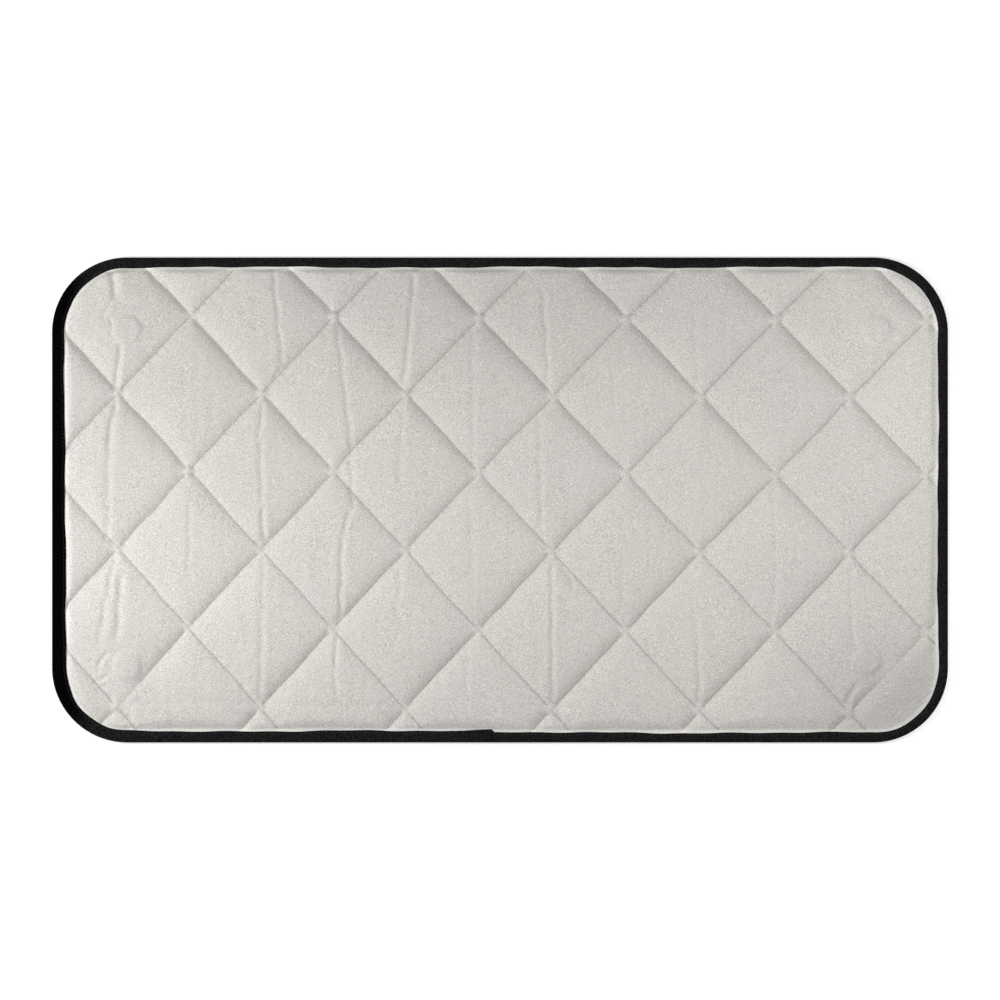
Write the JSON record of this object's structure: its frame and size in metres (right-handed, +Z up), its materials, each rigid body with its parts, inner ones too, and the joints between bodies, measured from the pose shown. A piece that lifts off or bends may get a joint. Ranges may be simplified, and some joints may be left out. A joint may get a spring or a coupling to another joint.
{
  "type": "quilted sunroof cover",
  "caption": "Padded sunroof cover: rounded rectangle with diamond quilting, a folded cloth tape bound round the edge and disc magnets sewn in at the corners.",
  "frame": {"origin": "centre of the cover's footprint, on the surface that it lies on", "axes": "+X along the length to the right, +Y across the width towards the far long edge, +Z up out of the light face"},
  "size_m": [0.85, 0.4602, 0.0086],
  "materials": {
    "face_cloth": "fine plain-weave cloth with a dull silver-grey coating",
    "wadding": "white polyester wadding",
    "backing_cloth": "plain black woven lining",
    "edge_binding": "black twill tape",
    "magnet": "nickel-plated disc"
  },
  "bodies": {
    "root": {"face_cloth": "face_cloth", "wadding": "wadding", "backing_cloth": "backing_cloth", "edge_binding": "edge_binding", "magnet_far_left": "magnet", "magnet_far_right": "magnet", "magnet_near_left": "magnet", "magnet_near_right": "magnet"}
  },
  "joints": []
}
